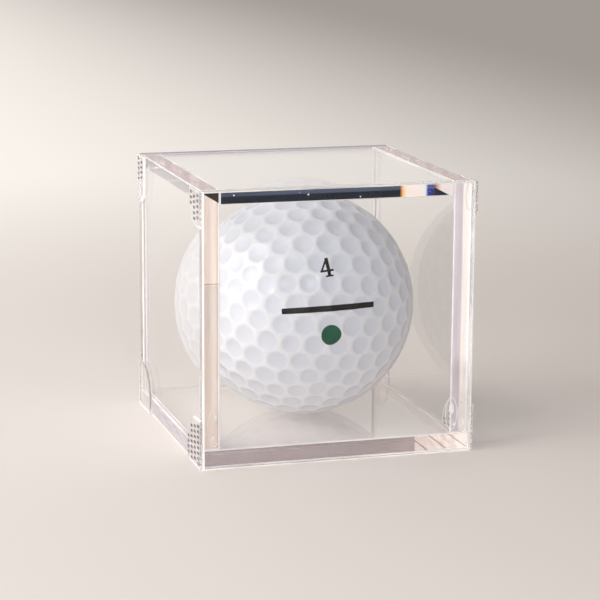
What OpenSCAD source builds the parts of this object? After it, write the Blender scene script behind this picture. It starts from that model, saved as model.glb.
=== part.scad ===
// Clear display cube for one golf ball.
// The base is a U of front, floor and back plates. The cover is a U of left, top and right plates,
// which drops in between the front and back plates and stands on the floor plate.
// Origin at the centre of the underside, X to the right along the front, Y to the back, Z up.

/* [Case] */
// Clearance between the ball and each side wall
side_gap = 0.67; // [0.2:0.01:10]
// Clearance between the ball and the front or back wall
end_gap = 1.97; // [0.2:0.01:10]
// Clearance above the ball
head_gap = 1.78; // [0.2:0.01:10]
// Thickness of the left and right walls
side_t = 3.5; // [1.5:0.1:6]
// Thickness of the front and back walls
front_t = 2.5; // [1.5:0.1:6]
// Thickness of the top plate
top_t = 2.7; // [1.5:0.1:6]
// Thickness of the floor plate
floor_t = 3.2; // [1.5:0.1:6]
// Radius on the outer upright edges
edge_r = 0.45; // [0.1:0.05:0.8]
// Running clearance between the cover and the base
slide_gap = 0.1; // [0.02:0.01:0.3]

/* [Corner tabs] */
// Thickness of a tab's thin rim
tab_rim_t = 0.25; // [0.15:0.05:0.6]
// Extra thickness of a tab's stippled pad
tab_pad_t = 0.2; // [0.05:0.05:0.5]
// Width of the rim that shows round the pad
tab_rim_w = 0.5; // [0.2:0.1:1]
// Reach of a lower tab along the side wall
lower_tab_w = 10.4; // [6:0.1:16]
// Height of a lower tab
lower_tab_h = 9; // [6:0.1:16]
// Reach of a front upper tab along the side wall
front_tab_w = 8; // [5:0.1:12]
// Height of a front upper tab
front_tab_h = 6.5; // [5:0.1:12]
// Reach of a back upper tab along the side wall
back_tab_w = 6.4; // [5:0.1:12]
// Height of a back upper tab
back_tab_h = 9.4; // [5:0.1:14]
// Roundness of a tab's free corner, as a share of its shorter side
tab_round = 0.72; // [0.4:0.02:0.9]
// Diameter of one stipple dimple
stipple_d = 0.6; // [0.3:0.05:0.8]
// Depth of one stipple dimple
stipple_depth = 0.15; // [0.05:0.01:0.2]
// Spacing of the stipple dimples
stipple_pitch = 1.2; // [1:0.1:2]
// Least flat left round a stipple dimple
stipple_land = 0.1; // [0.05:0.05:0.3]
// Diameter of the round stud at the foot of a back upper tab
stud_d = 1.3; // [0.8:0.1:2]
// Height of that stud above the rim
stud_h = 0.35; // [0.1:0.05:0.6]

/* [Ball] */
// Diameter of the ball
ball_d = 42.67; // [40:0.01:50]
// Thickness of the ball's cover
cover_t = 1.2; // [0.8:0.1:2]
// Thickness of the mantle under the cover
mantle_t = 1.1; // [0.5:0.1:2]
// Bond line between the ball's layers
bond_gap = 0.02; // [0.01:0.01:0.05]
// Diameter of one dimple
dimple_d = 3.7; // [3:0.05:3.8]
// Depth of one dimple below the ball's round
dimple_depth = 0.24; // [0.15:0.01:0.35]
// Lean of the dimple pattern from upright, in degrees
pattern_lean = 12; // [5:1:30]
// Turn of the dimple pattern, in degrees
pattern_turn = 15; // [0:1:71]
// Clearance between the ball and the floor plate
rest_gap = 0.05; // [0.02:0.01:0.3]

/* [Hidden] */

clear_colour = [0.86, 0.9, 0.94, 0.4];
tab_colour = [0.8, 0.84, 0.9, 0.7];
round_fn = 64;
ball_fn = 200;
dimple_fn = 96;
stipple_fn = 24;
// Dimples along one edge of the icosahedron that spaces them, and the arc of that edge
ico_split = 6;
ico_arc = atan(2);
// Reach of a dimple's cutter past the rim that it leaves
cutter_lap = 0.02;

cavity_w = ball_d + 2 * side_gap;
cavity_d = ball_d + 2 * end_gap;
case_w = cavity_w + 2 * side_t + 2 * slide_gap;
case_d = cavity_d + 2 * front_t;
case_h = floor_t + rest_gap + ball_d + head_gap + top_t;
plate_d = cavity_d - 2 * slide_gap;
wall_x = case_w / 2 - slide_gap;
ball_r = ball_d / 2;
ball_z = floor_t + rest_gap + ball_r;
mantle_r = ball_r - cover_t - bond_gap;
core_r = mantle_r - mantle_t - bond_gap;

// Flat bar along X with its two outer upright edges rounded, drawn from y = 0 to y = t
module rounded_bar(w, t, r) {
    difference() {
        translate([-w / 2, 0]) square([w, t]);
        for (s = [-1, 1]) translate([s * (w / 2 - r), r]) difference() {
            translate([s > 0 ? 0 : -r, -r]) square([r, r]);
            circle(r = r, $fn = round_fn);
        }
    }
}

module floor_panel() {
    color(clear_colour) translate([-case_w / 2, -cavity_d / 2, 0]) cube([case_w, cavity_d, floor_t]);
}

module front_panel() {
    color(clear_colour) translate([0, -case_d / 2, 0])
        linear_extrude(case_h) rounded_bar(case_w, front_t, edge_r);
}

module back_panel() {
    color(clear_colour) translate([0, case_d / 2, 0]) rotate(180)
        linear_extrude(case_h) rounded_bar(case_w, front_t, edge_r);
}

module top_panel() {
    color(clear_colour) translate([-cavity_w / 2, -plate_d / 2, case_h - top_t])
        cube([cavity_w, plate_d, top_t]);
}

// Side wall on the side s, -1 for left and 1 for right
module side_wall(s) {
    color(clear_colour) translate([s > 0 ? wall_x - side_t : -wall_x, -plate_d / 2, floor_t])
        cube([side_t, plate_d, case_h - floor_t]);
}

module left_panel() { side_wall(-1); }
module right_panel() { side_wall(1); }

// Quarter-round outline with its square corner at the origin
module tab_outline(w, h, r) {
    difference() {
        square([w, h]);
        translate([w - r, h - r]) difference() {
            square([r, r]);
            circle(r = r, $fn = round_fn);
        }
    }
}

// Whether a stipple at (u, v) lies whole on a pad of width w, height h and corner radius r
function on_pad(u, v, w, h, r, m) =
    u > m && v > m && u < w - m && v < h - m
    && (u < w - r || v < h - r || norm([u - w + r, v - h + r]) < r - m);

// Corner tab lying flat, its square corner at the origin and its face up
module tab(w, h, studded = false) {
    r = tab_round * min(w, h);
    pad_w = w - tab_rim_w;
    pad_h = h - tab_rim_w;
    pad_r = r - tab_rim_w / 2;
    face = tab_rim_t + tab_pad_t;
    cut_r = (pow(stipple_d / 2, 2) + pow(stipple_depth, 2)) / (2 * stipple_depth);
    margin = stipple_d / 2 + stipple_land;
    difference() {
        union() {
            linear_extrude(tab_rim_t) tab_outline(w, h, r);
            linear_extrude(face) tab_outline(pad_w, pad_h, pad_r);
        }
        for (i = [0 : floor(w / stipple_pitch)], j = [0 : floor(h / stipple_pitch)]) {
            u = edge_r + (i + 0.5) * stipple_pitch;
            v = (j + (i % 2 == 0 ? 0.5 : 1)) * stipple_pitch;
            if (on_pad(u, v, pad_w, pad_h, pad_r, margin)
                && (!studded || norm([u - stud_d, v - h + stud_d]) > stud_d / 2 + margin))
                translate([u, v, face - stipple_depth + cut_r]) sphere(r = cut_r, $fn = stipple_fn);
        }
    }
    if (studded) translate([stud_d, h - stud_d, 0])
        cylinder(d = stud_d, h = tab_rim_t + stud_h, $fn = round_fn);
}

// Tab on the side s, at the end e (-1 front, 1 back), low or high
module corner_tab(s, e, upper) {
    w = upper ? (e < 0 ? front_tab_w : back_tab_w) : lower_tab_w;
    h = upper ? (e < 0 ? front_tab_h : back_tab_h) : lower_tab_h;
    color(tab_colour)
        translate([s * case_w / 2, e * (case_d / 2 - edge_r), upper ? case_h : 0])
        multmatrix([[0, 0, s, 0], [-e, 0, 0, 0], [0, upper ? -1 : 1, 0, 0]])
        tab(w - edge_r, h, upper && e > 0);
}

module tab_front_left_lower() { corner_tab(-1, -1, false); }
module tab_front_right_lower() { corner_tab(1, -1, false); }
module tab_back_left_lower() { corner_tab(-1, 1, false); }
module tab_back_right_lower() { corner_tab(1, 1, false); }
module tab_front_left_upper() { corner_tab(-1, -1, true); }
module tab_front_right_upper() { corner_tab(1, -1, true); }
module tab_back_left_upper() { corner_tab(-1, 1, true); }
module tab_back_right_upper() { corner_tab(1, 1, true); }

// Corners of an icosahedron: two poles and two rings of five
function ring_point(i, up) =
    let (a = 72 * i + (up ? 0 : 36), z = (up ? 1 : -1) / sqrt(5))
    [2 / sqrt(5) * cos(a), 2 / sqrt(5) * sin(a), z];
top_pole = [0, 0, 1];
low_pole = [0, 0, -1];
ico_faces = [for (i = [0 : 4]) each [
    [top_pole, ring_point(i, true), ring_point(i + 1, true)],
    [ring_point(i, true), ring_point(i + 1, true), ring_point(i, false)],
    [ring_point(i + 1, true), ring_point(i, false), ring_point(i + 1, false)],
    [low_pole, ring_point(i, false), ring_point(i + 1, false)]]];
ico_edges = [for (i = [0 : 4]) each [
    [top_pole, ring_point(i, true)],
    [ring_point(i, true), ring_point(i + 1, true)],
    [ring_point(i, true), ring_point(i, false)],
    [ring_point(i + 1, true), ring_point(i, false)],
    [ring_point(i, false), ring_point(i + 1, false)],
    [low_pole, ring_point(i, false)]]];

// Even share of the arc between the corners, by the sines of the parts
function share(n) = sin(ico_arc * n / ico_split);
function unit(v) = v / norm(v);
dimple_dirs = concat(
    [top_pole, low_pole],
    [for (i = [0 : 4]) each [ring_point(i, true), ring_point(i, false)]],
    [for (e = ico_edges, i = [1 : ico_split - 1])
        unit(e[0] * share(i) + e[1] * share(ico_split - i))],
    [for (f = ico_faces, i = [1 : ico_split - 2], j = [1 : ico_split - 1 - i])
        unit(f[0] * share(i) + f[1] * share(j) + f[2] * share(ico_split - i - j))]);

// Dish that cuts one dimple: a cap of a large sphere, narrowed to the dimple's rim
module dimple_cutter() {
    half = dimple_d / 2;
    sag = ball_r - sqrt(pow(ball_r, 2) - pow(half, 2));
    dish = dimple_depth - sag;
    cut_r = (pow(half, 2) + pow(dish, 2)) / (2 * dish);
    intersection() {
        translate([0, 0, ball_r - dimple_depth + cut_r]) sphere(r = cut_r, $fn = dimple_fn);
        translate([0, 0, ball_r - cover_t])
            cylinder(r = half + cutter_lap, h = 2 * cover_t, $fn = dimple_fn);
    }
}

module ball_cover() {
    color("white") translate([0, 0, ball_z]) difference() {
        sphere(r = ball_r, $fn = ball_fn);
        sphere(r = ball_r - cover_t, $fn = ball_fn);
        rotate([pattern_lean, 0, pattern_turn])
            for (p = dimple_dirs) rotate([0, acos(p[2]), atan2(p[1], p[0])]) dimple_cutter();
    }
}

module ball_mantle() {
    color("gold") translate([0, 0, ball_z]) difference() {
        sphere(r = mantle_r, $fn = round_fn);
        sphere(r = mantle_r - mantle_t, $fn = round_fn);
    }
}

module ball_core() {
    color("dimgray") translate([0, 0, ball_z]) sphere(r = core_r, $fn = round_fn);
}

floor_panel();
front_panel();
back_panel();
tab_front_left_lower();
tab_front_right_lower();
tab_back_left_lower();
tab_back_right_lower();
tab_front_left_upper();
tab_front_right_upper();
tab_back_left_upper();
tab_back_right_upper();
top_panel();
left_panel();
right_panel();
ball_cover();
ball_mantle();
ball_core();
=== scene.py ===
import math

import bmesh
import bpy
import numpy as np
from mathutils import Matrix, Vector


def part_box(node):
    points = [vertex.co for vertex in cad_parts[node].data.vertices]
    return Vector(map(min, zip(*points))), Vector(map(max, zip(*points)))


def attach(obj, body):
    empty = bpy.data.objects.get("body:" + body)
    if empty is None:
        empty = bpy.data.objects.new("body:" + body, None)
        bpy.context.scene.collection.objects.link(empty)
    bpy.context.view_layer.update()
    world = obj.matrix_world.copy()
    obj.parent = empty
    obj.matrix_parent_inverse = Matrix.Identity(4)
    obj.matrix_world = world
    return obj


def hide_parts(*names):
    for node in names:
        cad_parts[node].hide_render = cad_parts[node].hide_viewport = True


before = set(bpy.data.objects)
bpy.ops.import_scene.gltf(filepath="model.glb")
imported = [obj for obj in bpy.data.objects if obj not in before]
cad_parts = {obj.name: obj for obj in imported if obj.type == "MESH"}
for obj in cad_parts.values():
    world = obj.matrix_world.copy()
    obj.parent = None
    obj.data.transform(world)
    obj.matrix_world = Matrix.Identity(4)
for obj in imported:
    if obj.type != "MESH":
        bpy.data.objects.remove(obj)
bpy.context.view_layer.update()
mm = 0.001
scene = bpy.context.scene


def hexColour(code, share=1.0):
    # sRGB hex to linear light, or a share of it
    parts = [int(code[i:i + 2], 16) / 255 for i in (1, 3, 5)]
    linear = [p / 12.92 if p <= 0.04045 else ((p + 0.055) / 1.055) ** 2.4 for p in parts]
    return tuple(share * p for p in linear) + (1.0,)


def addNode(tree, kind, settings=None, links=None, **fields):
    # one shader node: fields are its own options, settings its socket values, links its inputs
    node = tree.nodes.new(kind)
    for name, value in fields.items():
        setattr(node, name, value)
    for name, value in (settings or {}).items():
        node.inputs[name].default_value = value
    for name, source in (links or {}).items():
        tree.links.new(source, node.inputs[name])
    return node


def newMaterial(name):
    material = bpy.data.materials.new(name)
    material.use_nodes = True
    material.node_tree.nodes.clear()
    return material, material.node_tree


def finishMaterial(tree, surface, volume=None):
    addNode(tree, "ShaderNodeOutputMaterial",
            links={"Surface": surface, **({"Volume": volume} if volume else {})})


def meshOf(name, bm, materials):
    mesh = bpy.data.meshes.new(name)
    bm.to_mesh(mesh)
    bm.free()
    for each in materials:
        mesh.materials.append(each)
    return mesh


def boxMesh(size, middle):
    bm = bmesh.new()
    bmesh.ops.create_cube(bm, size=1.0)
    bmesh.ops.scale(bm, vec=size, verts=bm.verts)
    bmesh.ops.translate(bm, vec=middle, verts=bm.verts)
    return bm


def bevelEdges(bm, edges, offset, segments, material=-1):
    return bmesh.ops.bevel(bm, geom=edges, offset=offset, offset_type="OFFSET", segments=segments,
                           profile=0.5, material=material, affect="EDGES")


def rotateVerts(bm, verts, angle, axis):
    bmesh.ops.rotate(bm, cent=(0, 0, 0), matrix=Matrix.Rotation(angle, 3, axis), verts=verts)


def objectFrom(name, bm, materials, body, replaced=()):
    piece = bpy.data.objects.new(name, meshOf(name, bm, materials))
    scene.collection.objects.link(piece)
    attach(piece, body)
    if replaced:
        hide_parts(*replaced)
    return piece


# materials

clearPlastic = {
    "tint": "#FFFFFF",
    "ior": 1.49,                # acrylic or crystal styrene
    "roughness": 0.0,
    "rippleSize": 12.0 * mm,    # slow flow marks of a moulded plate
    "rippleDepth": 0.001 * mm,
    "shadowTint": "#FAFAFA",
    "gleam": 0.35,              # how much of a plain face's mirror image is kept
    "bodyColour": "#B5A3A8",    # long ways through a plate come out rose-grey
    "bodyDensity": 2.5,         # how fast that tint gathers, per metre
    "floorDensity": 18.0,       # the same in the floor plate, which shows more of it
    "tabRipple": 0.004 * mm,
    # painted highlight and painted glow on rounded edges:
    "edgeColour": "#FFFDFB",
    "edgeRoughness": 0.12,
    "edgeCoat": 0.5,
    "edgeGlow": (0.5, 0.95),    # share of painted highlight on a polished edge, along its length
    "edgePatch": 9.0 * mm,      # length of the brighter and dimmer stretches
    "edgeBreaks": (0.35, 0.6),  # noise values at the dimmest and at the brightest
    "edgeLight": 0.15,          # painted glow on the edges, for the light that a plate carries to them
}


clearGlass = {"Roughness": clearPlastic["roughness"], "IOR": clearPlastic["ior"], "Transmission Weight": 1.0}


def clearMaterial(name, ripple, density):
    # polished clear styrene plate: bright edges, sharp reflections, a faint ripple from moulding
    material, tree = newMaterial(name)
    place = addNode(tree, "ShaderNodeTexCoord")
    flow = addNode(tree, "ShaderNodeTexNoise", {"Scale": 1 / clearPlastic["rippleSize"], "Detail": 2.0},
                   {"Vector": place.outputs["Object"]})
    bump = addNode(tree, "ShaderNodeBump", {"Strength": 1.0, "Distance": ripple},
                   {"Height": flow.outputs["Fac"]})
    glass = addNode(tree, "ShaderNodeBsdfPrincipled",
                    {**clearGlass, "Base Color": hexColour(clearPlastic["tint"]),
                     "Specular Tint": (clearPlastic["gleam"],) * 3 + (1.0,)},
                    {"Normal": bump.outputs["Normal"]})
    # lamps reach the ball through the plate
    through = addNode(tree, "ShaderNodeBsdfTransparent", {"Color": hexColour(clearPlastic["shadowTint"])})
    path = addNode(tree, "ShaderNodeLightPath")
    mix = addNode(tree, "ShaderNodeMixShader",
                  links={0: path.outputs["Is Shadow Ray"], 1: glass.outputs[0], 2: through.outputs[0]})
    body = addNode(tree, "ShaderNodeVolumeAbsorption",
                   {"Color": hexColour(clearPlastic["bodyColour"]), "Density": density})
    finishMaterial(tree, mix.outputs[0], body.outputs[0])
    return material


polishedStyrene = clearMaterial("polishedClearStyrene", clearPlastic["rippleDepth"],
                                clearPlastic["bodyDensity"])
floorStyrene = clearMaterial("floorClearStyrene", clearPlastic["rippleDepth"],
                             clearPlastic["floorDensity"])
stippledStyrene = clearMaterial("stippledClearStyrene", clearPlastic["tabRipple"],
                                clearPlastic["bodyDensity"])


def edgeHighlightMaterial():
    # flame-polished edge with a painted highlight: it shows as a pale, glowing, slightly broken line, for the
    # light that it gathers from every side
    material, tree = newMaterial("flamePolishedEdgePaintedHighlight")
    place = addNode(tree, "ShaderNodeTexCoord")
    patch = addNode(tree, "ShaderNodeTexNoise", {"Scale": 1 / clearPlastic["edgePatch"], "Detail": 3.0},
                    {"Vector": place.outputs["Object"]})
    (dim, bright), (low, high) = clearPlastic["edgeBreaks"], clearPlastic["edgeGlow"]
    share = addNode(tree, "ShaderNodeMapRange",
                    {"From Min": dim, "From Max": bright, "To Min": low, "To Max": high},
                    {"Value": patch.outputs["Fac"]})
    colour = hexColour(clearPlastic["edgeColour"])
    gather = addNode(tree, "ShaderNodeBsdfPrincipled",
                     {"Base Color": colour, "Roughness": clearPlastic["edgeRoughness"],
                      "IOR": clearPlastic["ior"], "Coat Weight": clearPlastic["edgeCoat"],
                      "Emission Color": colour, "Emission Strength": clearPlastic["edgeLight"]})
    glass = addNode(tree, "ShaderNodeBsdfPrincipled", clearGlass)
    mix = addNode(tree, "ShaderNodeMixShader",
                  links={0: share.outputs["Result"], 1: glass.outputs[0], 2: gather.outputs[0]})
    finishMaterial(tree, mix.outputs[0])
    return material


paintedHighlightEdge = edgeHighlightMaterial()


evenFace = {"step": (30.0, 38.0), "dim": 1.0}    # a face that is alike all the way up

wallEnds = {
    # look of each narrow face: painted reflection colours across it as shares of its thickness from left
    # to right, how milky it is above and below a step, the step's height in mm, how much dimmer the
    # painted colour is below it (painted shade), the painted glow that it gives out, and how far the
    # milkiness varies
    "leftFront": {"run": ((0.0, "#FFFCF8"), (0.1, "#EBD9CA"), (0.8, "#E5D1C0"), (0.88, "#BE9F8D"),
                          (0.93, "#FFFDFA"), (1.0, "#FFFDFA")), "milkAndLight": (0.74, 0.7), "step": (33.2, 33.6),
                  "dim": 0.8, "light": 0.5, "vary": 0.14},
    "rightFront": {"run": ((0.0, "#F6DFC9"), (0.07, "#D6CBD0"), (0.45, "#CDC3CA"), (0.52, "#F3E8DF"),
                           (0.82, "#F9EFE7"), (0.88, "#FFFFFF"), (1.0, "#FFFFFF")),
                   "milkAndLight": (0.7, 0.5), "step": (15.0, 18.0), "dim": 0.92, "light": 0.5, "vary": 0.16},
    "back": {"run": ((0.0, "#FFFFFF"), (0.22, "#F3ECEA"), (0.34, "#A59AA2"), (0.66, "#B7A8AC"),
                     (0.78, "#F6F0EE"), (1.0, "#FFFFFF")), "milkAndLight": (0.85, 0.85), "light": 0.5, "vary": 0.1,
             **evenFace},
    "upper": {"run": ((0.0, "#B8A5A4"), (1.0, "#B09D9C")), "milkAndLight": (0.62, 0.62), "light": 0.45,
              "vary": 0.6, **evenFace},
    "dusk": {"run": ((0.0, "#81768C"), (1.0, "#786D84")), "milkAndLight": (0.8, 0.8), "light": 0.5, "vary": 0.15,
             **evenFace},
    "floorSide": {"run": ((0.0, "#948F96"), (0.5, "#98939A"), (0.55, "#FFF4E8"), (1.0, "#FFF4E8")),
                  "milkAndLight": (0.72, 0.72), "light": 0.9, "vary": 0.35, **evenFace},
    "floorBack": {"run": ((0.0, "#CFC7C8"), (1.0, "#D5CCC9")), "milkAndLight": (0.8, 0.8), "light": 0.5,
                  "vary": 0.35, **evenFace},
}

scraping = {
    "size": 1.1 * mm,           # of the scrape marks across the grain
    "contrast": (0.3, 0.7),     # noise values at the clearest and at the milkiest
    "roughness": 0.4,
    "stepLine": "#B98A62",      # a thin orange-brown line painted across the left wall's end at the step
    "stepHalf": 0.09 * mm,
    "shade": "#32241D",         # painted shade: one upper corner is painted dark
    "shadeDrop": (0.3 * mm, 2.4 * mm),   # how far down it reaches at the face's left and right sides
    "shadeRoughness": 0.3,
    "shadeSpecular": 0.2,
}


def rampNode(tree, stops, factor):
    ramp = addNode(tree, "ShaderNodeValToRGB", links={"Fac": factor})
    for number, (place, colour) in enumerate(stops):
        stop = ramp.color_ramp.elements[number] if number < 2 else ramp.color_ramp.elements.new(1.0)
        stop.position, stop.color = place, hexColour(colour)
    return ramp


def scrapedEndPaintedLight(name, node, finish, grain, shaded=False):
    # a plate's narrow face, cut and scraped: milky streaks carrying painted reflection colours, and a painted
    # glow for the light that the plate carries out to it
    material, tree = newMaterial(name)
    low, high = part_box(node)
    place = addNode(tree, "ShaderNodeTexCoord")
    axes = addNode(tree, "ShaderNodeSeparateXYZ", links={"Vector": place.outputs["Object"]})
    stretch = addNode(tree, "ShaderNodeMapping", {"Scale": grain}, {"Vector": place.outputs["Object"]})
    scrape = addNode(tree, "ShaderNodeTexNoise", {"Scale": 1 / scraping["size"], "Detail": 3.0},
                     {"Vector": stretch.outputs[0]})
    vary, (clearest, milkiest) = finish["vary"], scraping["contrast"]
    streaks = addNode(tree, "ShaderNodeMapRange", {"From Min": clearest, "From Max": milkiest,
                                                   "To Min": 1 - vary, "To Max": 1 + vary},
                      {"Value": scrape.outputs["Fac"]})
    (above, below), (stepLow, stepHigh) = finish["milkAndLight"], finish["step"]
    milky = addNode(tree, "ShaderNodeMapRange", {"From Min": stepLow * mm, "From Max": stepHigh * mm,
                                                 "To Min": below, "To Max": above},
                    {"Value": axes.outputs["Z"]})
    share = addNode(tree, "ShaderNodeMath", links={0: streaks.outputs["Result"], 1: milky.outputs["Result"]},
                    operation="MULTIPLY")
    # painted reflection colours across the face, dimmer below the step as painted shade
    across = addNode(tree, "ShaderNodeMapRange", {"From Min": low.x, "From Max": high.x},
                     {"Value": axes.outputs["X"]})
    run = rampNode(tree, finish["run"], across.outputs["Result"])
    dimmer = addNode(tree, "ShaderNodeMapRange", {"From Min": stepLow * mm, "From Max": stepHigh * mm,
                                                  "To Min": finish["dim"], "To Max": 1.0},
                     {"Value": axes.outputs["Z"]})
    tone = addNode(tree, "ShaderNodeVectorMath", links={0: run.outputs["Color"], "Scale": dimmer.outputs[0]},
                   operation="SCALE").outputs[0]
    if shaded:
        atStep = addNode(tree, "ShaderNodeMath", {1: stepHigh * mm, 2: scraping["stepHalf"]},
                         {0: axes.outputs["Z"]}, operation="COMPARE")
        tone = addNode(tree, "ShaderNodeMix", {7: hexColour(scraping["stepLine"])},
                       {0: atStep.outputs[0], 6: tone}, data_type="RGBA").outputs[2]
    # the milky part shows the painted colours and gives a painted glow
    milkAndLight = addNode(tree, "ShaderNodeBsdfPrincipled",
                   {"Roughness": scraping["roughness"], "IOR": clearPlastic["ior"],
                    "Emission Strength": finish["light"]},
                   {"Base Color": tone, "Emission Color": tone})
    glass = addNode(tree, "ShaderNodeBsdfPrincipled", clearGlass)
    surface = addNode(tree, "ShaderNodeMixShader",
                      links={0: share.outputs[0], 1: glass.outputs[0], 2: milkAndLight.outputs[0]}).outputs[0]
    # painted shade in one upper corner
    if shaded:
        dropLeft, dropRight = scraping["shadeDrop"]
        along = addNode(tree, "ShaderNodeMapRange",
                        {"From Min": low.x, "From Max": high.x,
                         "To Min": high.z - dropLeft, "To Max": high.z - dropRight},
                        {"Value": axes.outputs["X"]})
        inCorner = addNode(tree, "ShaderNodeMath", links={0: axes.outputs["Z"], 1: along.outputs["Result"]},
                           operation="GREATER_THAN")
        dark = addNode(tree, "ShaderNodeBsdfPrincipled",
                       {"Base Color": hexColour(scraping["shade"]), "Roughness": scraping["shadeRoughness"],
                        "IOR": clearPlastic["ior"], "Specular IOR Level": scraping["shadeSpecular"]})
        surface = addNode(tree, "ShaderNodeMixShader",
                          links={0: inCorner.outputs[0], 1: surface, 2: dark.outputs[0]}).outputs[0]
    finishMaterial(tree, surface)
    return material


sawnEdgeReflection = {
    "saw": 0.9 * mm,            # saw marks along the edge
    "lowShare": 0.55,           # the darker lower part of the band, painted shade
    # painted sheen that lightens the upper part along the saw streaks
    "sawStreakSheen": "#5F6A7F",
    "stepBlur": 0.1 * mm,       # half the width of the change from the lower to the upper part
    "wedge": (18.1, 21.4, 1.7 * mm),     # a painted dark wedge of shade tapers away along the foot of the band
    "wedgeColour": "#1B1D33",
    "chipSpacing": 1.9 * mm,
    "chipShare": 0.09,          # a chip's radius as a share of that spacing
    "chipColour": "#E9ECF2",
    "roughness": 0.35,
    "specular": 0.15,
    "light": 0.4,               # painted glow, for the light that the plate carries out to this edge
    # painted reflection colours across the edge from left to right, in mm from the middle of the case
    "run": ((-22.3, "#0B1424"), (11.5, "#0B1424"), (11.7, "#B4622A"), (12.2, "#F2CF96"), (13.0, "#F1E4DA"),
            (16.4, "#EFE3DC"), (16.6, "#6FA6DC"), (16.9, "#2D338C"), (18.1, "#33305E"), (18.6, "#C48A5C"),
            (19.4, "#E6DAD8")),
    "half": 22.3,               # half the length that those colours take up
}


def sawnEdgeReflectionMaterial():
    # the top plate's front edge seen end on, with saw streaks, painted as its reflection: blue-black painted
    # shade where it turns light away, then painted split colours where light gets through, and a painted glow
    material, tree = newMaterial("sawnPlateEdgePaintedReflection")
    low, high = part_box("top_panel")
    place = addNode(tree, "ShaderNodeTexCoord")
    axes = addNode(tree, "ShaderNodeSeparateXYZ", links={"Vector": place.outputs["Object"]})
    half = sawnEdgeReflection["half"]
    across = addNode(tree, "ShaderNodeMapRange", {"From Min": -half * mm, "From Max": half * mm},
                     {"Value": axes.outputs["X"]})
    run = rampNode(tree, [((x + half) / (2 * half), colour) for x, colour in sawnEdgeReflection["run"]],
                   across.outputs["Result"])
    stretch = addNode(tree, "ShaderNodeMapping", {"Scale": (0.05, 1.0, 1.0)},
                      {"Vector": place.outputs["Object"]})
    streak = addNode(tree, "ShaderNodeTexNoise", {"Scale": 1 / sawnEdgeReflection["saw"], "Detail": 4.0},
                     {"Vector": stretch.outputs[0]})
    step, blur = low.z + (high.z - low.z) * sawnEdgeReflection["lowShare"], sawnEdgeReflection["stepBlur"]
    upper = addNode(tree, "ShaderNodeMapRange", {"From Min": step - blur, "From Max": step + blur},
                    {"Value": axes.outputs["Z"]})
    # painted sheen along the saw streaks in the upper part
    streakSheen = addNode(tree, "ShaderNodeMath", links={0: upper.outputs["Result"], 1: streak.outputs["Fac"]},
                   operation="MULTIPLY")
    lift = addNode(tree, "ShaderNodeMix", {7: hexColour(sawnEdgeReflection["sawStreakSheen"])},
                   {0: streakSheen.outputs[0], 6: run.outputs["Color"]}, data_type="RGBA", blend_type="SCREEN")
    # painted shade in a dark wedge
    start, end, tall = sawnEdgeReflection["wedge"]
    taper = addNode(tree, "ShaderNodeMapRange", {"From Min": start * mm, "From Max": end * mm,
                                                 "To Min": low.z + tall, "To Max": low.z},
                    {"Value": axes.outputs["X"]})
    under = addNode(tree, "ShaderNodeMath", links={0: axes.outputs["Z"], 1: taper.outputs["Result"]},
                    operation="LESS_THAN")
    after = addNode(tree, "ShaderNodeMath", {1: start * mm}, {0: axes.outputs["X"]}, operation="GREATER_THAN")
    wedge = addNode(tree, "ShaderNodeMath", links={0: under.outputs[0], 1: after.outputs[0]},
                    operation="MULTIPLY")
    wedged = addNode(tree, "ShaderNodeMix", {7: hexColour(sawnEdgeReflection["wedgeColour"])},
                     {0: wedge.outputs[0], 6: lift.outputs[2]}, data_type="RGBA")
    # chips no bigger than a grain of sand
    chip = addNode(tree, "ShaderNodeTexVoronoi", {"Scale": 1 / sawnEdgeReflection["chipSpacing"]},
                   {"Vector": place.outputs["Object"]})
    speck = addNode(tree, "ShaderNodeMath", {1: sawnEdgeReflection["chipShare"]}, {0: chip.outputs["Distance"]},
                    operation="LESS_THAN")
    chipped = addNode(tree, "ShaderNodeMix", {7: hexColour(sawnEdgeReflection["chipColour"])},
                      {0: speck.outputs[0], 6: wedged.outputs[2]}, data_type="RGBA")
    skin = addNode(tree, "ShaderNodeBsdfPrincipled",
                   {"Roughness": sawnEdgeReflection["roughness"], "IOR": clearPlastic["ior"],
                    "Specular IOR Level": sawnEdgeReflection["specular"], "Emission Strength": sawnEdgeReflection["light"]},
                   {"Base Color": chipped.outputs[2], "Emission Color": chipped.outputs[2]})
    finishMaterial(tree, skin.outputs[0])
    return material


sawnEdgePaintedReflection = sawnEdgeReflectionMaterial()

ballFinish = {
    "paint": "#F2F4F9",
    "dimpleShade": "#F2F4F8",        # painted shade inside a dimple
    "ink": "#020203",
    "green": "#0A5A40",
    "peelSize": 0.5 * mm,       # orange peel of sprayed paint, drawn a little coarse so that it shows
    "peelDepth": 0.004 * mm,
    "cloudSize": 9 * mm,        # faint clouds in the paint
    "cloudShare": 0.94,         # how bright they are beside the rest
    "roughness": 0.5,
    "ior": 1.5,
    "specular": 0.3,
    "coatRoughness": 0.05,
}


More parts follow.
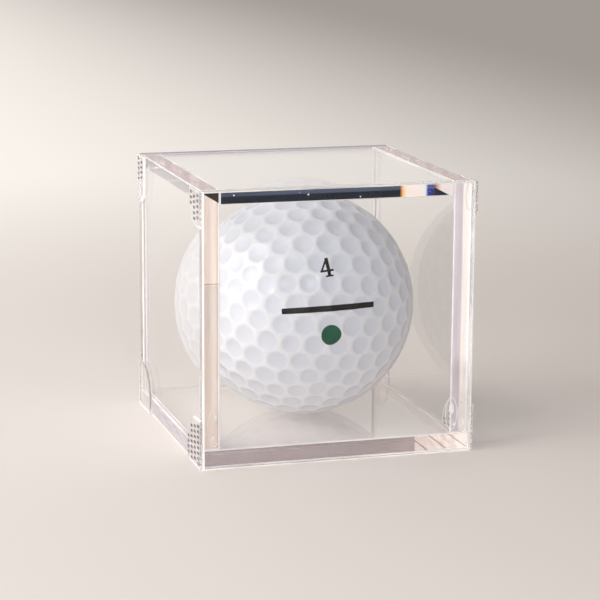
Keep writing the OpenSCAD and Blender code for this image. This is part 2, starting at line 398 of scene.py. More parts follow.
def ballPaint(name, colour, coat, dimpleShadeColour=None):
    # sprayed white paint under clear lacquer over an ionomer cover: soft white with small hard highlights
    material, tree = newMaterial(name)
    place = addNode(tree, "ShaderNodeTexCoord")
    peel = addNode(tree, "ShaderNodeTexNoise", {"Scale": 1 / ballFinish["peelSize"], "Detail": 2.0},
                   {"Vector": place.outputs["Object"]})
    cloud = addNode(tree, "ShaderNodeTexNoise", {"Scale": 1 / ballFinish["cloudSize"], "Detail": 2.0},
                    {"Vector": place.outputs["Object"]})
    tone = addNode(tree, "ShaderNodeMix",
                   {6: hexColour(colour), 7: hexColour(colour, ballFinish["cloudShare"])},
                   {0: cloud.outputs["Fac"]}, data_type="RGBA")
    skinColour = tone.outputs[2]
    if dimpleShadeColour:
        # painted shade: the dimples are painted a little darker and cooler than the land between them
        dimpleShade = addNode(tree, "ShaderNodeAttribute", attribute_name="dimpleShade")
        skinColour = addNode(tree, "ShaderNodeMix", {7: hexColour(dimpleShadeColour)},
                             {0: dimpleShade.outputs["Fac"], 6: skinColour}, data_type="RGBA",
                             blend_type="MULTIPLY").outputs[2]
    bump = addNode(tree, "ShaderNodeBump", {"Strength": 1.0, "Distance": ballFinish["peelDepth"]},
                   {"Height": peel.outputs["Fac"]})
    skin = addNode(tree, "ShaderNodeBsdfPrincipled",
                   {"Roughness": ballFinish["roughness"], "IOR": ballFinish["ior"],
                    "Specular IOR Level": ballFinish["specular"], "Coat Weight": coat,
                    "Coat Roughness": ballFinish["coatRoughness"]},
                   {"Base Color": skinColour, "Normal": bump.outputs["Normal"]})
    finishMaterial(tree, skin.outputs[0])
    return material


whitePaint = ballPaint("lacqueredWhiteIonomer", ballFinish["paint"], 0.6, ballFinish["dimpleShade"])
blackInk = ballPaint("padPrintedBlackInk", ballFinish["ink"], 0.1)
greenInk = ballPaint("padPrintedGreenInk", ballFinish["green"], 0.1)


innerLayer = {
    "fleckSize": 1.2 * mm,
    "fleckShare": 0.8,          # how bright the darkest flecks are
}


def plainLayer(name, colour, roughness):
    # moulded layer inside the ball, hidden by the cover
    material, tree = newMaterial(name)
    place = addNode(tree, "ShaderNodeTexCoord")
    fleck = addNode(tree, "ShaderNodeTexNoise", {"Scale": 1 / innerLayer["fleckSize"], "Detail": 3.0},
                    {"Vector": place.outputs["Object"]})
    shade = addNode(tree, "ShaderNodeValToRGB", links={"Fac": fleck.outputs["Fac"]})
    shade.color_ramp.elements[0].color = hexColour(colour, innerLayer["fleckShare"])
    shade.color_ramp.elements[1].color = hexColour(colour)
    skin = addNode(tree, "ShaderNodeBsdfPrincipled", {"Roughness": roughness},
                   {"Base Color": shade.outputs["Color"]})
    finishMaterial(tree, skin.outputs[0])
    return material


print("materials ready")

# plates

plateFinish = {
    "bondSeam": 0.01 * mm,      # each bonded face stands back by this, so that no two faces coincide
    "cornerRadius": 0.3 * mm,   # outer upright edges
    "polishRadius": 0.19 * mm,  # flame-polished edges
    "segments": 3,
    "cornerSegments": 4,
    "uprightLength": 5 * mm,    # edges that climb more than this count as upright
    "sharpAngle": 40,           # edges that bend more than this, in degrees, are polished and get the painted highlight
}


def plate(name, body, uprightCorners=(), stock=polishedStyrene, **narrow):
    # narrow gives the material of a narrow face, with its painted light, by the way that it looks: front,
    # back, up, down or sides
    low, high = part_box(name)
    seam = Vector((plateFinish["bondSeam"],) * 3)
    low, high = low + seam, high - seam
    middle = (low + high) / 2
    bm = boxMesh(high - low, middle)

    def isCorner(edge):
        a, b = (v.co for v in edge.verts)
        return abs(a.z - b.z) > plateFinish["uprightLength"] and any(
            (a.x - middle.x) * sx > 0 and (a.y - middle.y) * sy > 0 for sx, sy in uprightCorners)

    corners = [e for e in bm.edges if isCorner(e)]
    if corners:
        bevelEdges(bm, corners, plateFinish["cornerRadius"], plateFinish["cornerSegments"])
    sharp = [e for e in bm.edges if len(e.link_faces) == 2
             and e.calc_face_angle(0) > math.radians(plateFinish["sharpAngle"])]
    bevelEdges(bm, sharp, plateFinish["polishRadius"], plateFinish["segments"])
    bm.normal_update()
    ways = {"front": lambda n: n.y < -0.99, "back": lambda n: n.y > 0.99, "up": lambda n: n.z > 0.99,
            "down": lambda n: n.z < -0.99, "sides": lambda n: abs(n.x) > 0.99}
    for face in bm.faces:
        flat = max(abs(n) for n in face.normal) > 0.999
        face.smooth = not flat
        # rounded faces take the painted highlight
        face.material_index = 0 if flat else 1
        for number, way in enumerate(narrow):
            if flat and ways[way](face.normal):
                face.material_index = 2 + number
    materials = [stock, paintedHighlightEdge, *narrow.values()]
    return objectFrom(name + "_clear", bm, materials, body, [name])


outerFront = [(-1, -1), (1, -1)]
outerBack = [(-1, 1), (1, 1)]
# scrape marks are drawn out along one axis
alongX, alongY, alongZ = (0.05, 1.0, 1.0), (1.0, 0.16, 1.0), (1.0, 1.0, 0.05)
plate("floor_panel", "base", stock=floorStyrene,
      sides=scrapedEndPaintedLight("scrapedFloorEndPaintedLight", "floor_panel", wallEnds["floorSide"], alongY),
      back=scrapedEndPaintedLight("scrapedFloorBackPaintedLight", "floor_panel", wallEnds["floorBack"], alongX))
plate("front_panel", "base", outerFront)
plate("back_panel", "base", outerBack,
      up=scrapedEndPaintedLight("backPlateUpperEnd", "back_panel", wallEnds["dusk"], alongX))
for side in ("left", "right"):
    wall = side + "_panel"
    upperEnd = scrapedEndPaintedLight(side + "WallUpperEnd", wall, wallEnds["upper"], alongY)
    plate(wall, "cover", up=upperEnd, down=upperEnd,
          front=scrapedEndPaintedLight(side + "WallFrontEnd", wall, wallEnds[side + "Front"], alongZ,
                                shaded=side == "left"),
          back=scrapedEndPaintedLight(side + "WallBackEnd", wall, wallEnds["back"], alongZ))
plate("top_panel", "cover", front=sawnEdgePaintedReflection,
      back=scrapedEndPaintedLight("scrapedTopEndPaintedLight", "top_panel", wallEnds["dusk"], alongX))
print("plates ready")

# corner tabs

tabForm = {
    "face": 0.45 * mm,          # thickness of a tab
    "round": 0.72,              # its free corner, as a share of its shorter side
    "roundSegments": 16,
    "slope": 0.3 * mm,          # sloped border round the stippled face
    "slopeSegments": 3,
    "pitWidth": 1.5 * mm,
    "pitHeight": 0.62 * mm,
    "pitDepth": 0.22 * mm,
    "pitAcross": 2.4 * mm,      # spacing of the pits along the wall and up it
    "pitUp": 1.0 * mm,
    "pitFacets": (14, 8),
    # painted shade that darkens the pits
    "pitShade": "#6F666E",
    "margin": 0.2 * mm,         # least flat between a pit and the sloped border
    "bond": 0.22 * mm,          # width of the painted highlight line round the foot
    "studWidth": 2.4 * mm,
    "studHeight": 0.6 * mm,
    "studSegments": 32,
    "studEdge": 0.06 * mm,      # radius of the stud's rim
    "studLift": 0.002 * mm,     # keeps the stud's foot off the tab's face
    "plain": ("tab_back_left_lower", "tab_back_right_lower"),   # clear, without pits
}


def pitShadeMaterial():
    # little pressed pits, their glass tinted dark: painted shade for the light that they throw aside
    material, tree = newMaterial("stipplePitShade")
    glass = addNode(tree, "ShaderNodeBsdfPrincipled",
                    {**clearGlass, "Base Color": hexColour(tabForm["pitShade"])})
    finishMaterial(tree, glass.outputs[0])
    return material


stipplePitShade = pitShadeMaterial()


def tabShape(name):
    # a plate whose free corner is rounded and whose outer face has a sloped border
    low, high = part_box(name)
    side = 1 if low.x > 0 else -1
    seam = plateFinish["bondSeam"]
    inner = min(abs(low.x), abs(high.x)) + seam
    wall, face = side * inner, side * (inner + tabForm["face"])
    middle = Vector(((wall + face) / 2, (low.y + high.y) / 2, (low.z + high.z) / 2))
    size = Vector((abs(face - wall), high.y - low.y, high.z - low.z))
    bm = boxMesh(size, middle)
    freeY, freeZ = (-1 if middle.y > 0 else 1), (-1 if middle.z > 0.02 else 1)
    corner = [e for e in bm.edges if all((v.co.y - middle.y) * freeY > 0 and (v.co.z - middle.z) * freeZ > 0
                                         for v in e.verts)]
    radius = tabForm["round"] * min(size.y, size.z)
    bevelEdges(bm, corner, radius, tabForm["roundSegments"])
    # only the free sides are sloped, because the square sides run on into the plate's edges
    border = [e for e in bm.edges if all(abs(v.co.x - face) < seam for v in e.verts)
              and not all((v.co.y - middle.y) * -freeY > size.y / 2 - seam for v in e.verts)
              and not all((v.co.z - middle.z) * -freeZ > size.z / 2 - seam for v in e.verts)]
    bevelEdges(bm, border, tabForm["slope"], tabForm["slopeSegments"])
    bm.normal_update()
    for each in bm.faces:
        free = each.normal.y * freeY > 0.05 or each.normal.z * freeZ > 0.05
        each.smooth = 0.05 < abs(each.normal.x) < 0.99
        # the free sides take the painted highlight, except on the plain tabs
        each.material_index = 1 if free and name not in tabForm["plain"] else 0
    # painted highlight: a bright glowing line round the tab's foot, where it is bonded
    foot = [f for f in bm.faces if abs(f.calc_center_median().x - wall) < seam and abs(f.normal.x) > 0.99]
    ring = bmesh.ops.inset_region(bm, faces=foot, thickness=tabForm["bond"], use_even_offset=True)["faces"]
    for each in ring:
        each.material_index = 1
    return bm, side, face, middle, size, radius, freeY, freeZ


def pitShape(side, face, middle, size, radius, freeY, freeZ, studPlace):
    # the pits that lie whole on the face, in staggered rows, as one cutting body
    bm = bmesh.new()
    halfY, halfZ = size.y / 2 - tabForm["slope"], size.z / 2 - tabForm["slope"]
    columns, rows = int(size.y / tabForm["pitAcross"]) + 1, int(size.z / tabForm["pitUp"]) + 1
    around, down = tabForm["pitFacets"]
    for column in range(columns):
        for row in range(rows):
            u = -halfY + tabForm["margin"] + (column + 0.35) * tabForm["pitAcross"]
            v = -halfZ + tabForm["margin"] + (row + 0.25 + 0.5 * (column % 2)) * tabForm["pitUp"]
            reachU, reachV = u + tabForm["pitWidth"] / 2, v + tabForm["pitHeight"] / 2
            if reachU > halfY - tabForm["margin"] or reachV > halfZ - tabForm["margin"]:
                continue
            bendU, bendV = reachU - (size.y / 2 - radius), reachV - (size.z / 2 - radius)
            if bendU > 0 and bendV > 0 and math.hypot(bendU, bendV) > radius - tabForm["slope"]:
                continue
            centre = Vector((face, middle.y + freeY * u, middle.z + freeZ * v))
            if studPlace and (centre - studPlace).length < tabForm["studWidth"]:
                continue
            made = bmesh.ops.create_uvsphere(bm, u_segments=around, v_segments=down, radius=0.5)["verts"]
            bmesh.ops.scale(bm, vec=(2 * tabForm["pitDepth"], tabForm["pitWidth"], tabForm["pitHeight"]),
                            verts=made)
            bmesh.ops.translate(bm, vec=centre, verts=made)
    for each in bm.faces:
        each.smooth = True
        # the pits take the painted shade
        each.material_index = 2
    return bm


def cut(mesh, cutter):
    # takes one closed mesh out of another, and gives back the result
    holder = bpy.data.objects.new("holder", mesh)
    tool = bpy.data.objects.new("tool", cutter)
    for each in (holder, tool):
        scene.collection.objects.link(each)
    step = holder.modifiers.new("cut", "BOOLEAN")
    step.operation, step.solver, step.object = "DIFFERENCE", "EXACT", tool
    bpy.context.view_layer.update()
    result = bpy.data.meshes.new_from_object(holder.evaluated_get(bpy.context.evaluated_depsgraph_get()))
    bpy.data.objects.remove(holder)
    bpy.data.objects.remove(tool)
    return result


def makeTab(name):
    studded = "back" in name and "upper" in name
    bm, side, face, middle, size, radius, freeY, freeZ = tabShape(name)
    studPlace = None
    if studded:
        # a round stud near the tab's foot
        studPlace = Vector((face, middle.y - freeY * (size.y / 2 - tabForm["studWidth"]),
                            middle.z + freeZ * (size.z / 2 - tabForm["studWidth"])))
    pits = pitShape(side, face, middle, size, radius, freeY, freeZ, studPlace)
    materials = [stippledStyrene, paintedHighlightEdge, stipplePitShade]
    body, cutter = meshOf(name + "Body", bm, materials), meshOf(name + "Pits", pits, materials)
    done = body if name in tabForm["plain"] else cut(body, cutter)
    bm = bmesh.new()
    bm.from_mesh(done)
    bpy.data.meshes.remove(done)
    if studded:
        rise = tabForm["studHeight"] - tabForm["face"]
        made = bmesh.ops.create_cone(bm, cap_ends=True, segments=tabForm["studSegments"],
                                     radius1=tabForm["studWidth"] / 2, radius2=tabForm["studWidth"] / 2,
                                     depth=rise)["verts"]
        top = [e for v in made for e in v.link_edges if all(abs(w.co.z - v.co.z) < 1e-9 for w in e.verts)
               and v.co.z > 0]
        rotateVerts(bm, made, math.pi / 2 * side, "Y")
        away = Vector((side * (rise / 2 + tabForm["studLift"]), 0, 0))
        bmesh.ops.translate(bm, vec=studPlace + away, verts=made)
        # the stud's rim takes the painted highlight
        raised = bevelEdges(bm, list(set(top)), tabForm["studEdge"], tabForm["slopeSegments"], material=1)
        for each in raised["faces"]:
            each.smooth = True
    objectFrom(name + "_stippled", bm, materials, "base", [name])


for name in sorted(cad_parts):
    if name.startswith("tab_"):
        makeTab(name)
print("tabs ready")

# painted highlights of the corner tabs' bonds, inside the front plate

bondHighlights = {
    "wire": 0.07 * mm,          # radius of the line that an oval is drawn with
    "wireSides": 8,
    "ringSteps": 40,
    "dropFacets": (20, 12),
    "inset": 0.6 * mm,          # inside the plate, from its inner face
    # glowing rings of painted highlight: middle across and up, then half width and half height, in mm
    "rings": ((-23.15, 7.35, 1.25, 3.35), (22.05, 7.0, 1.1, 3.1), (24.35, 6.7, 0.95, 3.4),
              (24.75, 47.6, 0.72, 2.6)),
    # glowing drops, painted highlights inside the bond: middle across and up, half width, half height
    "drops": ((22.1, 7.9, 0.5, 1.15), (24.2, 9.3, 0.36, 0.42), (24.5, 5.2, 0.3, 0.75), (22.6, 4.9, 0.25, 0.3),
              (-22.9, 9.1, 0.3, 0.55), (-23.4, 5.6, 0.25, 0.4)),
}


def makeBondHighlights():
    # painted highlights: thin bright glowing ovals and small drops where the tabs were bonded, seen through
    # the plate
    bm = bmesh.new()
    low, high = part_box("front_panel")
    for across, up, halfWidth, halfHeight in bondHighlights["rings"]:
        ring = bmesh.ops.create_circle(bm, segments=bondHighlights["wireSides"], radius=bondHighlights["wire"])["verts"]
        rotateVerts(bm, ring, math.pi / 2, "X")
        bmesh.ops.translate(bm, vec=(mm, 0, 0), verts=ring)
        edges = list({e for v in ring for e in v.link_edges})
        bmesh.ops.spin(bm, geom=edges + ring, cent=(0, 0, 0), axis=(0, 0, 1), angle=2 * math.pi,
                       steps=bondHighlights["ringSteps"], use_merge=True)
        made = [v for v in bm.verts if not v.tag]
        rotateVerts(bm, made, math.pi / 2, "X")
        for vertex in made:
            out = Vector((vertex.co.x, 0, vertex.co.z)).normalized()
            vertex.co += Vector((out.x * (halfWidth * mm - mm), 0, out.z * (halfHeight * mm - mm)))
            vertex.tag = True
        bmesh.ops.translate(bm, vec=(across * mm, high.y - bondHighlights["inset"], up * mm), verts=made)
    around, down = bondHighlights["dropFacets"]
    for across, up, halfWidth, halfHeight in bondHighlights["drops"]:
        made = bmesh.ops.create_uvsphere(bm, u_segments=around, v_segments=down, radius=1.0)["verts"]
        bmesh.ops.scale(bm, vec=(halfWidth * mm, 2 * bondHighlights["wire"], halfHeight * mm), verts=made)
        bmesh.ops.translate(bm, vec=(across * mm, high.y - bondHighlights["inset"], up * mm), verts=made)
    bmesh.ops.recalc_face_normals(bm, faces=bm.faces)
    for face in bm.faces:
        face.smooth = True
    objectFrom("tab_bond_highlights", bm, [paintedHighlightEdge], "base")


makeBondHighlights()

# ball

ball = {
    "diameter": 42.67 * mm,     # regulation ball
    "dimple": (3.7 * mm, 4.3 * mm),      # dimples come in several sizes, so that they nearly touch
    "land": 0.18 * mm,
    "depth": 0.33 * mm,
    "rim": 0.09 * mm,           # soft shoulder where a dimple meets the land
    "reach": 0.15 * mm,         # vertices this close to a rim are drawn onto it
    "flatness": 2.2,            # a dimple's floor is a little flatter than a plain dish
    "split": 6,                 # dimples along an edge of the icosahedron
    "subdivisions": 7,
    "lean": 12.0,               # of the pattern from upright, in degrees
    "turn": 15.0,
}
ballRadius = ball["diameter"] / 2
coverLow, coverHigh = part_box("ball_cover")
ballCentre = (coverLow + coverHigh) / 2


def dimpleDirections():
    # corners of an icosahedron, then even points along its edges and over its faces
    arc, split = math.radians(63.4349), ball["split"]

    def ring(i, up):
        a = math.radians(72 * i + (0 if up else 36))
        return np.array([2 * math.cos(a), 2 * math.sin(a), 1 if up else -1]) / math.sqrt(5)

    top, low = np.array([0, 0, 1.0]), np.array([0, 0, -1.0])
    found = [top, low]
    edges, faces = [], []
    for i in range(5):
        a, b, c, d = ring(i, True), ring(i + 1, True), ring(i, False), ring(i + 1, False)
        found += [a, c]
        edges += [(top, a), (a, b), (a, c), (b, c), (c, d), (low, c)]
        faces += [(top, a, b), (a, b, c), (b, c, d), (low, c, d)]
    share = [math.sin(arc * n / split) for n in range(split + 1)]
    found += [a * share[i] + b * share[split - i] for a, b in edges for i in range(1, split)]
    found += [a * share[i] + b * share[j] + c * share[split - i - j]
              for a, b, c in faces for i in range(1, split - 1) for j in range(1, split - i)]
    turned = np.array(Matrix.Rotation(math.radians(ball["turn"]), 3, "Z")
                      @ Matrix.Rotation(math.radians(ball["lean"]), 3, "X"))
    found = np.array(found)
    return (found / np.linalg.norm(found, axis=1)[:, None]) @ turned.T


dimples = dimpleDirections()
neighbour = np.arccos(np.clip(np.sort(dimples @ dimples.T, axis=1)[:, -2], -1, 1)) * ballRadius
dimpleHalf = np.clip(neighbour - ball["land"], *ball["dimple"]) / 2


def dimpledRadius(directions):
    # distance from the ball's centre to its surface along each unit direction
    closeness = directions @ dimples.T
    which = closeness.argmax(axis=1)
    nearest = np.arccos(np.clip(closeness.max(axis=1), -1, 1)) * ballRadius
    half, soft = dimpleHalf[which], ball["rim"]
    inside = np.clip(nearest / half, 0, 1)
    dish = ball["depth"] * (1 - inside ** ball["flatness"])
    shoulder = np.clip((half - nearest) / soft, 0, 1)
    return ballRadius - dish * (shoulder * shoulder * (3 - 2 * shoulder)) ** 0.5


def drawnToRims(directions):
    # the directions, with those close to a dimple's rim drawn onto it, and each one's share in a dimple
    closeness = directions @ dimples.T
    which, nearest = closeness.argmax(axis=1), closeness.max(axis=1)[:, None]
    inside = dimpleHalf[which] - np.arccos(np.clip(nearest[:, 0], -1, 1)) * ballRadius
    away = directions - dimples[which] * nearest
    away /= np.maximum(np.linalg.norm(away, axis=1), 1e-9)[:, None]
    angle = (dimpleHalf[which] / ballRadius)[:, None]
    onRim = dimples[which] * np.cos(angle) + away * np.sin(angle)
    close = np.abs(inside) < ball["reach"]
    drawn = np.where(close[:, None], onRim, directions)
    return drawn, np.where(close | (inside < 0), 0.0, 1.0)


def setOnBall(bm, lift=0.0):
    # moves each vertex along its own direction to the dimpled surface
    bm.verts.ensure_lookup_table()
    points = np.array([v.co for v in bm.verts])
    directions = points / np.linalg.norm(points, axis=1)[:, None]
    radii = dimpledRadius(directions) + lift
    for vertex, direction, radius in zip(bm.verts, directions, radii):
        vertex.co = ballCentre + Vector(direction * radius)


def makeBall():
    bm = bmesh.new()
    bmesh.ops.create_icosphere(bm, subdivisions=ball["subdivisions"], radius=ballRadius)
    points = np.array([v.co for v in bm.verts])
    drawn, dimpleShade = drawnToRims(points / np.linalg.norm(points, axis=1)[:, None])
    for vertex, place in zip(bm.verts, drawn):
        vertex.co = place
    setOnBall(bm)
    for face in bm.faces:
        face.smooth = True
    cover = objectFrom("ball_cover_dimpled", bm, [whitePaint], "ball", ["ball_cover"])
    cover.data.attributes.new("dimpleShade", "FLOAT", "POINT").data.foreach_set("value", dimpleShade)


makeBall()

for name, finish in (("ball_mantle", plainLayer("castMantle", "#C9A24A", 0.6)),
                     ("ball_core", plainLayer("mouldedRubberCore", "#4A5157", 0.8))):
    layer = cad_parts[name]
    layer.data.materials.clear()
    layer.data.materials.append(finish)

# marks printed on the ball: plain number, line and dot

marks = {
    "facing": (-2.6, 28.5),     # azimuth and elevation of the number from the front, in degrees
    "tilt": 2.0,
    "numberLean": 4.0,
    "lineLength": 18.0 * mm,
    "lineWidth": 1.1 * mm,
    "lineDrop": 7.6 * mm,
    "dotWidth": 3.8 * mm,
    "dotDrop": 12.6 * mm,
    "lift": 0.03 * mm,          # above the paint
    "longestEdge": 0.35 * mm,   # of a mark's mesh, so that it follows the dimples
}

numberStrokes = (
    (0.3, 0.0, 3.6, 0.62, 90),      # stem
    (-0.42, 0.42, 2.72, 0.34, 60),  # slanting stroke
    (-0.02, -0.66, 2.5, 0.4, 0),    # crossbar
    (0.3, -1.66, 1.45, 0.28, 0),    # foot
)


def markTurn():
    azimuth, elevation = (math.radians(a) for a in marks["facing"])
    # flat marks are drawn facing up, then stood up to face the front and swung to their place
    return (Matrix.Rotation(azimuth, 3, "Z") @ Matrix.Rotation(math.pi / 2 - elevation, 3, "X")
            @ Matrix.Rotation(math.radians(marks["tilt"]), 3, "Z"))


def wrapMark(name, bm, material):
    # the flat mark, drawn about the origin, is rolled onto the ball
    for _ in range(5):
        long = [e for e in bm.edges if e.calc_length() > marks["longestEdge"]]
        if not long:
            break
        bmesh.ops.subdivide_edges(bm, edges=long, cuts=1)
        bmesh.ops.triangulate(bm, faces=bm.faces)
    turn = markTurn()
    for vertex in bm.verts:
        x, y = vertex.co.x / ballRadius, vertex.co.y / ballRadius
        vertex.co = turn @ (Vector((math.sin(x), math.sin(y) * math.cos(x), math.cos(y) * math.cos(x)))
                            * ballRadius)
    setOnBall(bm, marks["lift"])
    bmesh.ops.recalc_face_normals(bm, faces=bm.faces)
    middle = sum((v.co for v in bm.verts), Vector()) / len(bm.verts)
    if sum((f.normal.dot(middle - ballCentre) for f in bm.faces)) < 0:
        bmesh.ops.reverse_faces(bm, faces=bm.faces)
    for face in bm.faces:
        face.smooth = True
    objectFrom(name, bm, [material], "ball")


def numberMark():
    # a plain 4 with a foot, from four straight strokes: centre, length, width and lean of each
    bm = bmesh.new()
    for x, y, length, width, lean in numberStrokes:
        made = bmesh.ops.create_grid(bm, x_segments=12, y_segments=3, size=0.5)["verts"]
        bmesh.ops.scale(bm, vec=(length * mm, width * mm, 1), verts=made)
        rotateVerts(bm, made, math.radians(lean), "Z")
        bmesh.ops.translate(bm, vec=(x * mm, y * mm, 0), verts=made)
    rotateVerts(bm, bm.verts, math.radians(marks["numberLean"]), "Z")
    wrapMark("ball_number", bm, blackInk)


def lineMark():
    bm = bmesh.new()
    bmesh.ops.create_grid(bm, x_segments=48, y_segments=4, size=0.5)
    bmesh.ops.scale(bm, vec=(marks["lineLength"], marks["lineWidth"], 1), verts=bm.verts)
    bmesh.ops.translate(bm, vec=(0, -marks["lineDrop"], 0), verts=bm.verts)
    wrapMark("ball_line", bm, blackInk)


def dotMark():
    bm = bmesh.new()
    bmesh.ops.create_circle(bm, cap_ends=True, segments=48, radius=marks["dotWidth"] / 2)
    bmesh.ops.triangulate(bm, faces=bm.faces)
    bmesh.ops.translate(bm, vec=(0, -marks["dotDrop"], 0), verts=bm.verts)
    wrapMark("ball_dot", bm, greenInk)


numberMark()
lineMark()
dotMark()
print("ball ready")

# stage and light

stage = {
    "floorNear": ("#FCF6F0", "#C6BDB6"),     # near floor, painted lighter on the bright side and darker on the dim side
    "nearAcross": (-0.1, 0.22),
    # faint painted glow of the near floor
    "floorLight": 0.1,
    "floorLeft": "#FDF7F0",     # far floor, painted lighter on its bright side and darker on its dim side
    "floorRight": "#A29A95",
    "fadeFrom": 0.09,           # distance where the lit floor starts to give way to the plain backdrop
    "fadeTo": 0.36,
    "across": (-0.05, 0.36),    # the backdrop runs from its bright to its dim side over this
    "bounce": 0.5,              # painted glow that the board gives to bounced light, which lights the ball's underside
    "floorSize": 9.0,
    "floorPlace": (0, 1.5, -0.05 * mm),
    "wallColour": "#FFF8F2",
    "ceilingColour": "#B6B1B2",
    "wallTop": 0.45,            # heights where the wall's colour ends and the ceiling's begins
    "ceilingFrom": 0.7,
    "brightSide": (-0.78, 0.55, 0.3),
    "spread": 0.7,              # how far round the change from the dim to the bright side reaches
    "dimShare": 0.22,
    "brightShare": 0.95,
}

# place, size, watts and colour of each lamp
lamps = {
    "keyWindow": ((-1.35, -0.1, 1.0), (1.0, 1.0), 11.9, "#FFFCF9"),
    "windowPane": ((-1.25, -0.4, 0.95), (0.35, 0.35), 0.8, "#FFFDFA"),
    "frontFill": ((-0.35, -1.2, 0.75), (0.5, 0.5), 2.7, "#EEF3FF"),
}


def floorMaterial():
    # matte painted board, lit and shadowed near the case, painted lighter on one side and with a faint
    # painted glow; a pale backdrop further off, painted lighter on one side than the other
    material, tree = newMaterial("paleBoard")
    place = addNode(tree, "ShaderNodeTexCoord")
    away = addNode(tree, "ShaderNodeVectorMath", links={0: place.outputs["Object"]}, operation="LENGTH")
    fade = addNode(tree, "ShaderNodeMapRange", {"From Min": stage["fadeFrom"], "From Max": stage["fadeTo"]},
                   {"Value": away.outputs["Value"]}, interpolation_type="SMOOTHSTEP")
    side = addNode(tree, "ShaderNodeSeparateXYZ", links={"Vector": place.outputs["Object"]})
    across = addNode(tree, "ShaderNodeMapRange", dict(zip(("From Min", "From Max"), stage["across"])),
                     {"Value": side.outputs["X"]}, interpolation_type="SMOOTHSTEP")
    far = addNode(tree, "ShaderNodeMix",
                  {6: hexColour(stage["floorLeft"]), 7: hexColour(stage["floorRight"])},
                  {0: across.outputs["Result"]}, data_type="RGBA")
    nearAcross = addNode(tree, "ShaderNodeMapRange",
                         dict(zip(("From Min", "From Max"), stage["nearAcross"])),
                         {"Value": side.outputs["X"]}, interpolation_type="SMOOTHSTEP")
    near = addNode(tree, "ShaderNodeMix", dict(zip((6, 7), map(hexColour, stage["floorNear"]))),
                   {0: nearAcross.outputs["Result"]}, data_type="RGBA")
    glow = addNode(tree, "ShaderNodeEmission", {"Strength": 1.0}, {"Color": far.outputs[2]})
    path = addNode(tree, "ShaderNodeLightPath")
    bounced = addNode(tree, "ShaderNodeMath", {1: 1.0}, {0: path.outputs["Diffuse Depth"]},
                      operation="MINIMUM")
    bounce = addNode(tree, "ShaderNodeMath", {1: stage["bounce"], 2: stage["floorLight"]},
                     {0: bounced.outputs[0]}, operation="MULTIPLY_ADD")
    lit = addNode(tree, "ShaderNodeBsdfPrincipled", {"Roughness": 0.8, "Specular IOR Level": 0.2},
                  {"Base Color": near.outputs[2], "Emission Color": near.outputs[2],
                   "Emission Strength": bounce.outputs[0]})
    seen = path.outputs["Is Camera Ray"]
    for kind in ("Is Glossy Ray", "Is Transmission Ray"):
        seen = addNode(tree, "ShaderNodeMath", links={0: seen, 1: path.outputs[kind]},
                       operation="MAXIMUM").outputs[0]
    share = addNode(tree, "ShaderNodeMath", links={0: seen, 1: fade.outputs["Result"]}, operation="MULTIPLY")
    mix = addNode(tree, "ShaderNodeMixShader",
                  links={0: share.outputs[0], 1: lit.outputs[0], 2: glow.outputs[0]})
    finishMaterial(tree, mix.outputs[0])
    return material


def makeFloor():
    bm = bmesh.new()
    bmesh.ops.create_grid(bm, x_segments=1, y_segments=1, size=stage["floorSize"] / 2)
    bmesh.ops.translate(bm, vec=stage["floorPlace"], verts=bm.verts)
    floor = bpy.data.objects.new("floor", meshOf("floor", bm, [floorMaterial()]))
    scene.collection.objects.link(floor)


def softbox(name, place, size, power, colour, target):
    light = bpy.data.lights.new(name, "AREA")
    light.shape = "RECTANGLE"
    light.size, light.size_y = size
    light.energy = power
    light.color = hexColour(colour)[:3]
    lamp = bpy.data.objects.new(name, light)
    scene.collection.objects.link(lamp)
    lamp.location = place
    lamp.rotation_euler = (Vector(target) - Vector(place)).to_track_quat("-Z", "Y").to_euler()


makeFloor()
caseMiddle = (0, 0, 0.025)
for name, settings in lamps.items():
    softbox(name, *settings, caseMiddle)


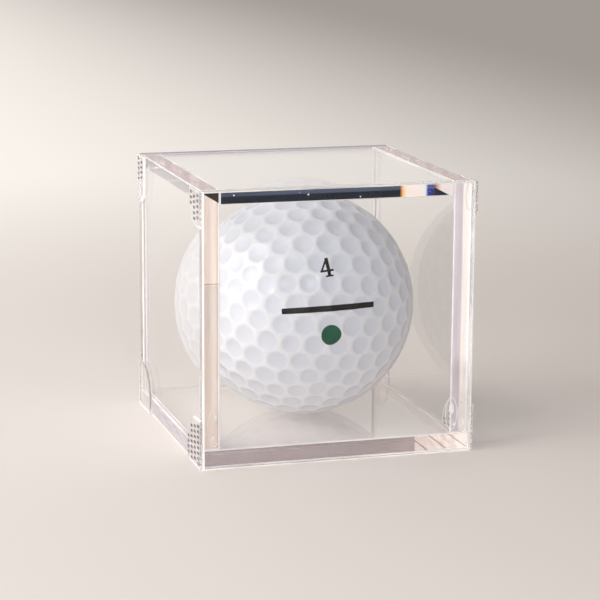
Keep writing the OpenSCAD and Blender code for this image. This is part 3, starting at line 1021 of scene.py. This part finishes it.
def makeWorld():
    # studio walls bright near the floor and on one side, a dimmer ceiling above them
    world = bpy.data.worlds.new("studio")
    scene.world = world
    world.use_nodes = True
    tree = world.node_tree
    tree.nodes.clear()
    place = addNode(tree, "ShaderNodeTexCoord")
    height = addNode(tree, "ShaderNodeSeparateXYZ", links={"Vector": place.outputs["Generated"]})
    ramp = addNode(tree, "ShaderNodeValToRGB", links={"Fac": height.outputs["Z"]})
    stops = ramp.color_ramp.elements
    stops[0].position, stops[0].color = stage["wallTop"], hexColour(stage["wallColour"])
    stops[1].position, stops[1].color = stage["ceilingFrom"], hexColour(stage["ceilingColour"])
    toBright = addNode(tree, "ShaderNodeVectorMath", {1: stage["brightSide"]},
                       {0: place.outputs["Generated"]}, operation="DOT_PRODUCT")
    level = addNode(tree, "ShaderNodeMapRange",
                    {"From Min": -stage["spread"], "From Max": stage["spread"],
                     "To Min": stage["dimShare"], "To Max": stage["brightShare"]},
                    {"Value": toBright.outputs["Value"]}, interpolation_type="SMOOTHSTEP")
    back = addNode(tree, "ShaderNodeBackground",
                   links={"Color": ramp.outputs["Color"], "Strength": level.outputs["Result"]})
    addNode(tree, "ShaderNodeOutputWorld", links={"Surface": back.outputs[0]})


makeWorld()

# camera, fitted to the case's corners in the photograph

view = {
    "place": (-116.8 * mm, -392.8 * mm, 110.0 * mm),
    "yaw": 16.56,
    "pitch": 11.76,
    "roll": 0.37,
    "lens": 131.3,
    "sensor": 36.0,
    "clip": (0.01, 20.0),
}


def makeCamera():
    data = bpy.data.cameras.new("camera")
    data.lens = view["lens"]
    data.sensor_width = view["sensor"]
    data.clip_start, data.clip_end = view["clip"]
    camera = bpy.data.objects.new("camera", data)
    scene.collection.objects.link(camera)
    turn = (Matrix.Rotation(-math.radians(view["yaw"]), 3, "Z")
            @ Matrix.Rotation(math.radians(90 - view["pitch"]), 3, "X")
            @ Matrix.Rotation(math.radians(view["roll"]), 3, "Z"))
    camera.matrix_world = Matrix.Translation(view["place"]) @ turn.to_4x4()
    scene.camera = camera


makeCamera()
scene.view_settings.view_transform = "Standard"
cycles = scene.cycles
# light crosses many faces along a plate
cycles.max_bounces = cycles.transmission_bounces = cycles.glossy_bounces = 64
cycles.transparent_max_bounces = 32

print("scene ready")
